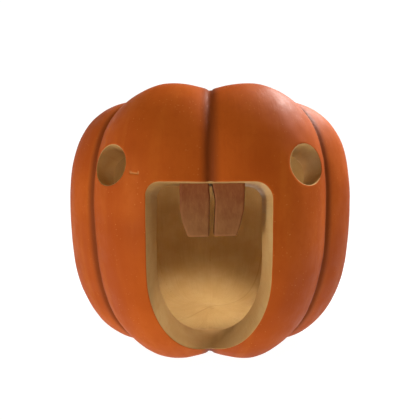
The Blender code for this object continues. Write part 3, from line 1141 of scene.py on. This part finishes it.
FLOOR_RINGS = (0.0, 0.6, 1.2)  # radii of the flat floor's rings, inside its sweep
FLOOR_RADIUS = 1.8
SWEEP_RADIUS = 1.2
SWEEP_STEPS = 16
WALL_HEIGHT = 3.2
FLOOR_COLUMNS = 64
FLOOR_SINK = 0.2 * MM
FLOOR_GREY = (0.20, 0.20, 0.20, 1)
FLOOR_ROUGHNESS = 0.9
FLOOR_GLOW = 0.98
GLOW_FROM_Y = -1.9  # in front of the pumpkin the glow fades out as far as this
GLOW_FULL_Y = -0.18  # and behind this it is full
GLOW_FADE = 0.45  # the glow of the front changes into that of the back over this distance
LEAST_GLOW = 0.09
DIM_SIDE_X = 0.45  # the front's glow is weaker on the right than on the left
DIM_SIDE_SHARE = 0.12
BRIGHT_SIDE_X = -0.35
BRIGHT_SIDE_SHARE = 0.85
VIEW_SLOPE = 0.74  # half the view's width for each metre in front of the camera
OUT_OF_VIEW_FROM = 0.05  # beside the view, the back's glow fades from this far out
OUT_OF_VIEW_TO = 1.1  # as far as this, where only this share of it is left
OUT_OF_VIEW_SHARE = 0.28
WORLD_STRENGTH = 0.03


def floor_glow(tree):
    """Full behind the pumpkin, and weaker in front of it and beside the view."""
    place = new_node(tree, "TexCoord", {}).outputs["Object"]
    split = new_node(tree, "SeparateXYZ", {0: place})
    x, y = split.outputs["X"], split.outputs["Y"]
    to_left = between(tree, x, DIM_SIDE_X, BRIGHT_SIDE_X)
    side = mixed_value(tree, to_left, DIM_SIDE_SHARE, BRIGHT_SIDE_SHARE)
    front = math_of(tree, "MULTIPLY", between(tree, y, GLOW_FROM_Y, GLOW_FULL_Y), side)
    front = math_of(tree, "MAXIMUM", front, LEAST_GLOW)
    half_view = math_of(tree, "MULTIPLY_ADD", y, VIEW_SLOPE, VIEW_SLOPE * CAMERA_DISTANCE)
    beside = math_of(tree, "SUBTRACT", math_of(tree, "ABSOLUTE", x), half_view)
    outside = between(tree, beside, OUT_OF_VIEW_FROM, OUT_OF_VIEW_TO)
    back = mixed_value(tree, outside, 1.0, OUT_OF_VIEW_SHARE)
    behind = between(tree, y, GLOW_FULL_Y - GLOW_FADE, GLOW_FULL_Y)
    return math_of(tree, "MULTIPLY", mixed_value(tree, behind, front, back), FLOOR_GLOW)


def floor_material():
    material, tree, shader = new_material("white_floor", 0.0)
    shader.inputs["Base Color"].default_value = FLOOR_GREY
    shader.inputs["Roughness"].default_value = FLOOR_ROUGHNESS
    shader.inputs["Emission Color"].default_value = WHITE
    socket_link(tree, shader.inputs["Emission Strength"], floor_glow(tree))
    return material


def add_floor():
    """A floor that sweeps up into a round wall, both glowing white, most of all behind the pumpkin."""
    profile = [(radius, 0.0) for radius in FLOOR_RINGS]
    profile += arc(FLOOR_RADIUS, SWEEP_RADIUS, SWEEP_RADIUS, SWEEP_RADIUS, -math.pi / 2, 0, SWEEP_STEPS)
    profile.append((FLOOR_RADIUS + SWEEP_RADIUS, WALL_HEIGHT))
    points = []
    for radius, height in profile:
        for column in range(FLOOR_COLUMNS):
            turn = column / FLOOR_COLUMNS * math.tau
            points.append((radius * math.cos(turn), radius * math.sin(turn), height - FLOOR_SINK))
    faces_up = [quad[::-1] for quad in ring_quads(len(profile), FLOOR_COLUMNS)]
    mesh = bpy.data.meshes.new("floor")
    mesh.from_pydata(points, [], faces_up)
    mesh.shade_smooth()
    mesh.materials.append(floor_material())
    floor = bpy.data.objects.new("floor", mesh)
    bpy.context.scene.collection.objects.link(floor)


def add_light(kind, name, place, target, power, **settings):
    data = bpy.data.lights.new(name, kind)
    data.energy = power
    for key, value in settings.items():
        setattr(data, key, value)
    light = bpy.data.objects.new(name, data)
    light.visible_camera = False
    light.location = place
    light.rotation_euler = (Vector(target) - Vector(place)).to_track_quat("-Z", "Y").to_euler()
    bpy.context.scene.collection.objects.link(light)


def add_disk_light(name, place, target, size, power):
    add_light("AREA", name, place, target, power, shape="DISK", size=size)


def add_spot_light(name, place, target, radius, degrees, blend, power):
    cone = {"spot_size": math.radians(degrees), "spot_blend": blend}
    add_light("SPOT", name, place, target, power, shadow_soft_size=radius, **cone)


def add_lights():
    """A high key light from behind on the right, a low fill from the left, and the hollow's own glow."""
    add_disk_light("key_upper_right", (0.60, 0.20, 1.00), (0.05, -0.02, 0.18), size=0.5, power=26)
    add_disk_light("fill_lower_left", (-0.85, -0.72, 0.10), (0, 0, 0.06), size=0.25, power=5.4)
    add_disk_light("front_top", (0.10, -0.75, 0.85), (0, -0.05, 0.08), size=0.4, power=0.25)
    place, target = (0.022, -0.01, 0.186), (-0.013, 0.012, 0)
    add_spot_light("inside_glow", place, target, radius=0.03, degrees=61, blend=0.6, power=1.5)
    place, target = (0.07, -0.02, 0.165), (-0.036, -0.118, 0.034)
    add_spot_light("lower_left_glow", place, target, radius=0.015, degrees=25, blend=0.6, power=0.7)
    place, target = (0.028, -0.01, 0.142), (0.028, -0.009, 0.300)
    add_spot_light("upper_glow", place, target, radius=0.02, degrees=180, blend=0.2, power=0.12)
    place, target = (0.018, -0.03, 0.120), (0.018, 0.10, 0.125)
    add_spot_light("back_glow", place, target, radius=0.03, degrees=180, blend=0.6, power=0.075)


def set_world():
    world = bpy.data.worlds.new("studio")
    world.use_nodes = True
    background = world.node_tree.nodes["Background"]
    background.inputs["Color"].default_value = WHITE
    background.inputs["Strength"].default_value = WORLD_STRENGTH
    bpy.context.scene.world = world
    bpy.context.scene.view_settings.view_transform = "Standard"


add_camera()
add_floor()
add_lights()
set_world()
